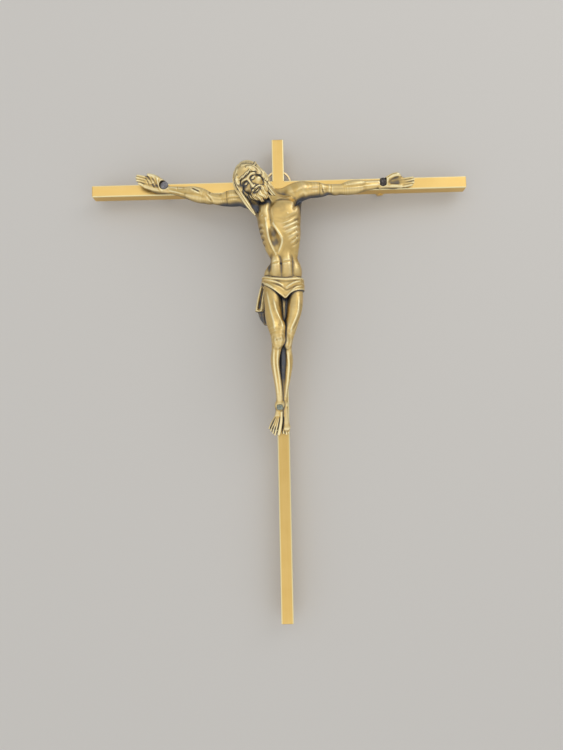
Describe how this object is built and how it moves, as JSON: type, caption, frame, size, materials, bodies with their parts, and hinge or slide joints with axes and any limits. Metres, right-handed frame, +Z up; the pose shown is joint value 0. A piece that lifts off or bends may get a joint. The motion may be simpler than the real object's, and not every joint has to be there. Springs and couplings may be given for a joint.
{
  "type": "crucifix",
  "caption": "Latin cross of square brass bars with a cast brass corpus nailed to it and a swinging split ring at the back of the crossing.",
  "frame": {"origin": "centre of the upright's foot end face", "axes": "+Z up the upright, -Y to the front, +X to the viewer's right, which is the figure's left"},
  "size_m": [0.316, 0.055, 0.4],
  "materials": {
    "cross_brass": "satin brushed brass bar, edges worn bright",
    "corpus_brass": "antique cast brass, dark patina in the hollows",
    "nail_metal": "dull dark grey metal",
    "fastener_brass": "bright turned brass",
    "ring_brass": "bright brass wire"
  },
  "bodies": {
    "cross": {"upright_bar": "cross_brass", "crossbar": "cross_brass", "corpus_body": "corpus_brass", "corpus_right_arm": "corpus_brass", "corpus_left_arm": "corpus_brass", "right_hand_nail": "nail_metal", "left_hand_nail": "nail_metal", "foot_nail": "nail_metal", "right_hand_washer": "fastener_brass", "left_hand_washer": "fastener_brass", "foot_washer": "fastener_brass", "right_hand_nut": "fastener_brass", "left_hand_nut": "fastener_brass", "foot_nut": "fastener_brass", "ring_eye": "ring_brass"},
    "ring": {"hanging_ring": "ring_brass"}
  },
  "joints": [
    {"name": "ring_swing", "type": "hinge", "parent": "cross", "child": "ring", "pos_m": [0, 0.0088, 0.3569], "axis": [-1, 0, 0], "range_deg": [-5, 185]}
  ]
}
